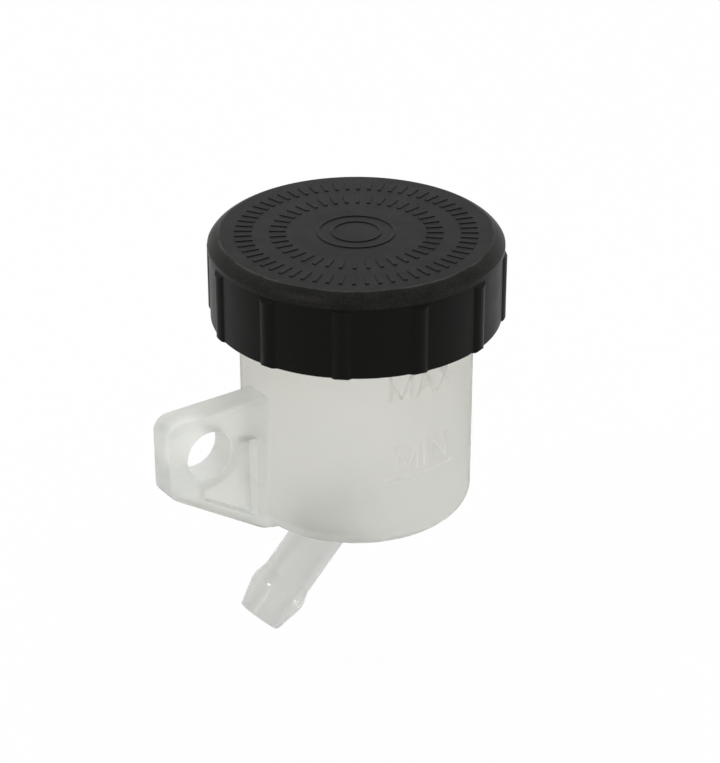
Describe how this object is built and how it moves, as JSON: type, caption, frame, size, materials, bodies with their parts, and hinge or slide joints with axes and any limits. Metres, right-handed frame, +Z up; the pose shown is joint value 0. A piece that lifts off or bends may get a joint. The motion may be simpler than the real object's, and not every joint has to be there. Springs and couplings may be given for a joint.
{
  "type": "brake fluid reservoir",
  "caption": "Remote brake fluid reservoir: a round moulded cup with a mounting ear, a barbed hose spout and a ribbed screw cap over a rubber diaphragm.",
  "frame": {"origin": "centre of the mounting ear's bore, halfway through the ear", "axes": "+Z up along the cup's axis, -Y out of the ear's cored side, where the bolt's head goes, +X from the bore towards the cup"},
  "size_m": [0.0491, 0.0382, 0.0547],
  "materials": {
    "milky_plastic": "satin, translucent",
    "black_rubber": "matte",
    "white_plastic": "smooth",
    "black_plastic": "fine-grained, satin"
  },
  "bodies": {
    "reservoir": {"reservoir_body": "milky_plastic"},
    "seal": {"diaphragm": "black_rubber", "slip_ring": "white_plastic"},
    "cap": {"screw_cap": "black_plastic"}
  },
  "joints": [
    {"name": "cap_lift", "type": "slide", "parent": "reservoir", "child": "seal", "axis": [0, 0, 1], "range_m": [0, 0.01052]},
    {"name": "cap_turn", "type": "hinge", "parent": "seal", "child": "cap", "pos_m": [0.0241, 0, 0], "axis": [0, 0, 1], "range_deg": [0, 1260]}
  ],
  "couplings": [
    {"joint": "cap_lift", "follows": "cap_turn", "m_per_rad": 0.00047746}
  ]
}
